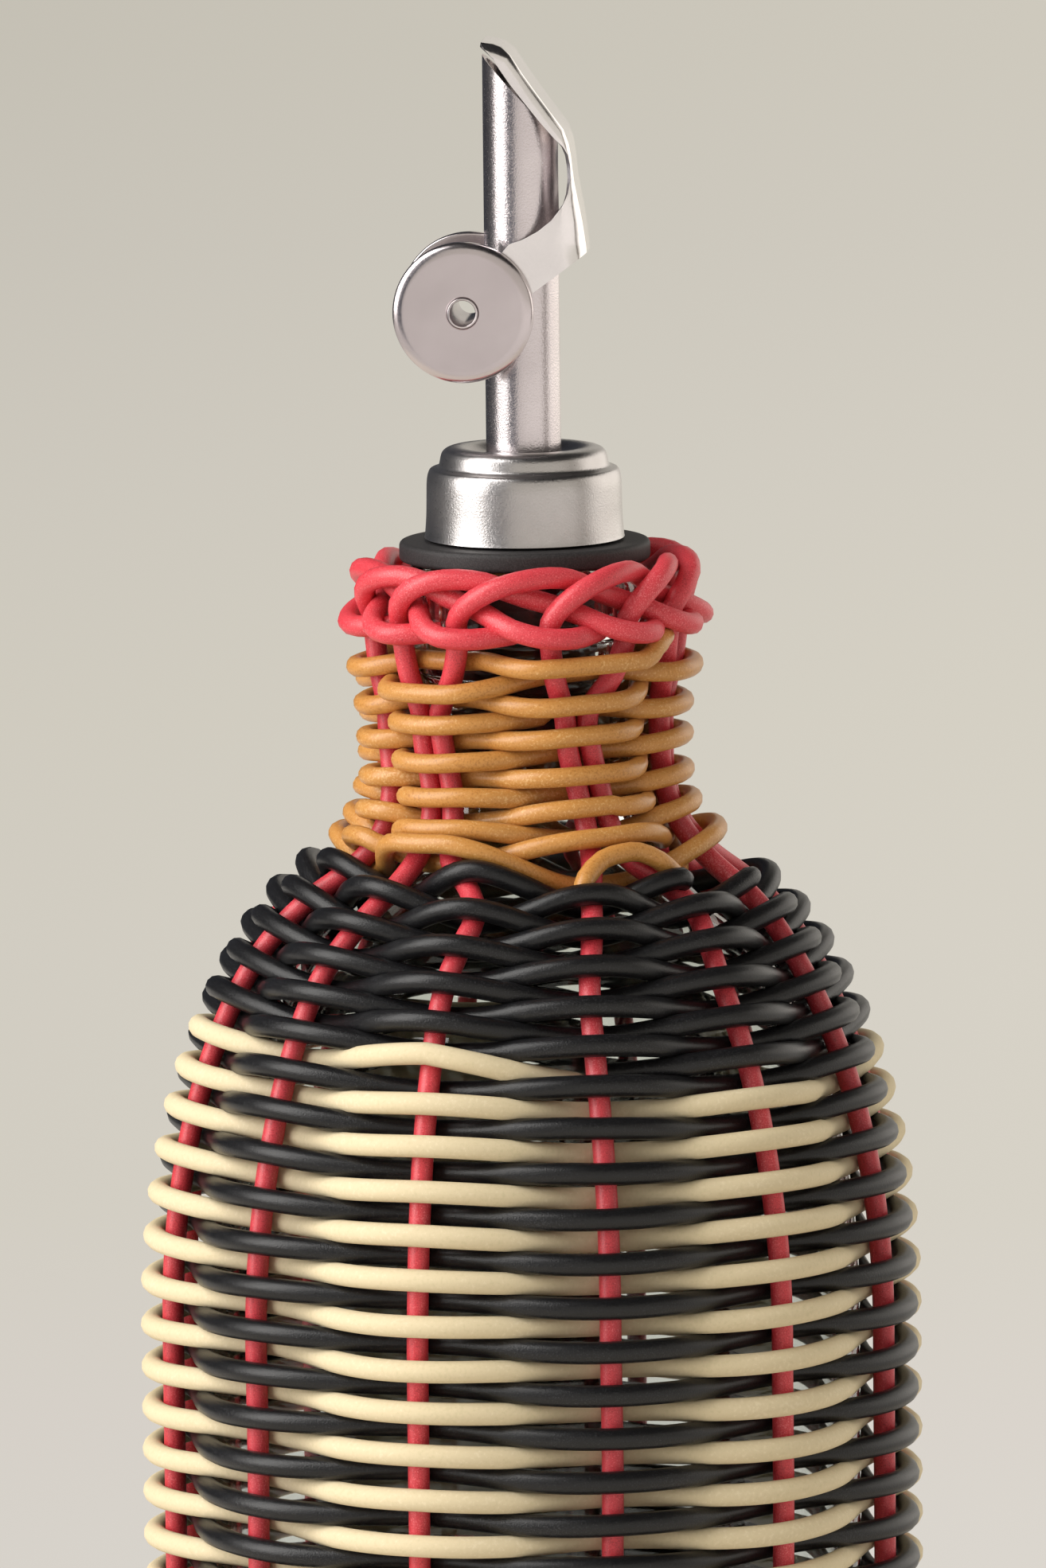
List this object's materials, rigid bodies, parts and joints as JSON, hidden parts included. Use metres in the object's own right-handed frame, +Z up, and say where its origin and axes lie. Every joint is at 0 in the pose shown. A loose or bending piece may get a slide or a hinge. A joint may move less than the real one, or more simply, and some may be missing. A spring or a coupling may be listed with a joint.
{
  "type": "woven oil cruet",
  "caption": "Clear bottle in a woven cord cover, closed by a rubber stopper with a steel spout whose weighted flap opens by itself when the bottle is tilted.",
  "frame": {"origin": "middle of the foot, on the surface that the cruet stands on", "axes": "+Z up along the bottle, -X the way the spout pours, -Y the front"},
  "size_m": [0.0836, 0.0836, 0.254],
  "materials": {
    "clear_glass": "clear, moulded",
    "red_cord": "extruded cord, semi-matte with a fine speckle",
    "black_cord": "extruded cord, semi-matte",
    "cream_cord": "extruded cord, smooth",
    "tan_cord": "extruded cord, smooth",
    "rubber": "moulded, fine grain",
    "satin_steel": "tumbled satin stainless steel"
  },
  "bodies": {
    "bottle": {"glass_bottle": "clear_glass", "foot_ring": "black_cord", "stake_cord_1": "red_cord", "stake_cord_2": "red_cord", "stake_cord_3": "red_cord", "stake_cord_4": "red_cord", "stake_cord_5": "red_cord", "stake_cord_6": "red_cord", "base_weaver_a": "black_cord", "base_weaver_b": "black_cord", "black_weaver": "black_cord", "shoulder_weaver": "black_cord", "cream_weaver": "cream_cord", "neck_weaver": "tan_cord"},
    "pourer": {"rubber_stopper": "rubber", "pourer_cap": "satin_steel", "spout_tube": "satin_steel", "air_tube": "satin_steel", "pivot_pin_near": "satin_steel", "pivot_pin_far": "satin_steel"},
    "lever": {"flap_lever": "satin_steel", "weight_disc_near": "satin_steel", "weight_disc_far": "satin_steel", "hollow_rivet": "satin_steel"}
  },
  "joints": [
    {"name": "pourer_lift", "type": "slide", "parent": "bottle", "child": "pourer", "axis": [0, 0, 1], "range_m": [0, 0.045]},
    {"name": "lid_pivot", "type": "hinge", "parent": "pourer", "child": "lever", "pos_m": [0, 0, 0.2279], "axis": [0, 1, 0], "range_deg": [0, 52]}
  ]
}
